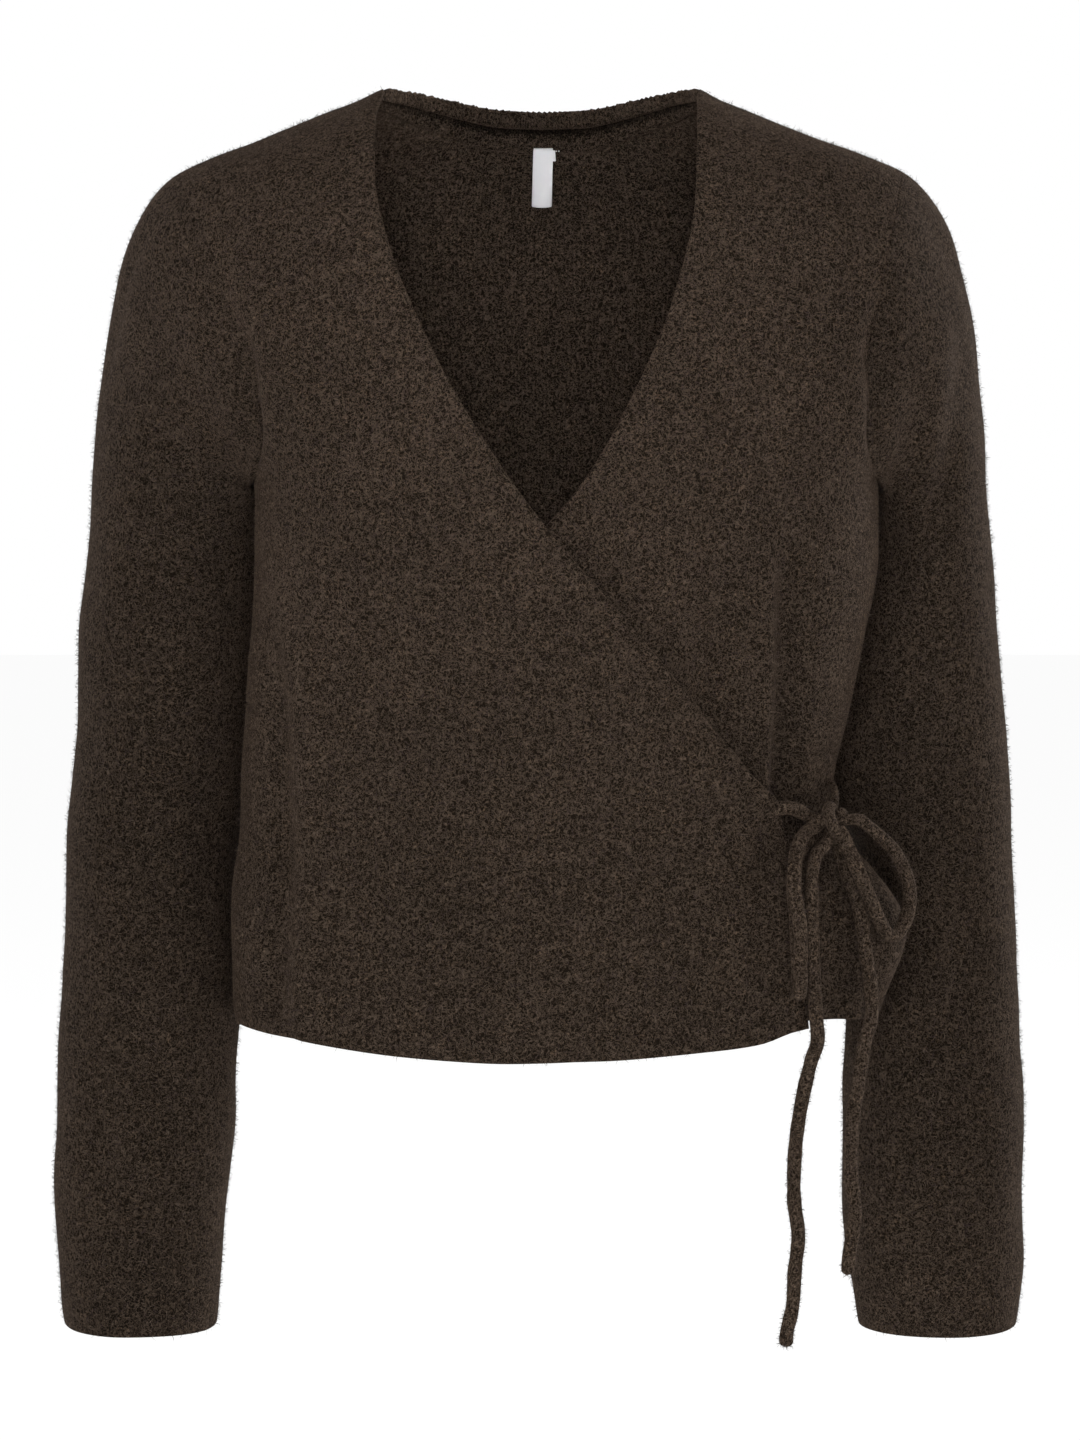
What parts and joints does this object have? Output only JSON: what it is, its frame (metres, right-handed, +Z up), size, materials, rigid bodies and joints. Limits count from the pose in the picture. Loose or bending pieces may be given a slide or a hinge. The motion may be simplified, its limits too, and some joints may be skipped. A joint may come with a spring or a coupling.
{
  "type": "wrap cardigan",
  "caption": "Cropped long-sleeved knitted wrap cardigan with a V neck, crossed over and tied in a bow at the wearer's left side, filled out as worn.",
  "frame": {"origin": "between the two neck points, at the height where the shoulders carry the garment", "axes": "+Z up along the body, -Y out of the front, +X towards the wearer's left"},
  "size_m": [0.542, 0.2138, 0.686],
  "materials": {
    "brushed_knit": "brushed, slightly felted dark brown melange knit",
    "label_weave": "plain white woven tape"
  },
  "bodies": {
    "root": {"back": "brushed_knit", "back_neck_band": "brushed_knit", "right_front": "brushed_knit", "left_front": "brushed_knit", "right_sleeve": "brushed_knit", "left_sleeve": "brushed_knit", "bow_knot": "brushed_knit", "front_tie_lead": "brushed_knit", "front_tie_loop": "brushed_knit", "front_tie_end": "brushed_knit", "side_tie_lead": "brushed_knit", "side_tie_loop": "brushed_knit", "side_tie_end": "brushed_knit", "neck_label": "label_weave", "size_tab": "label_weave"}
  },
  "joints": []
}
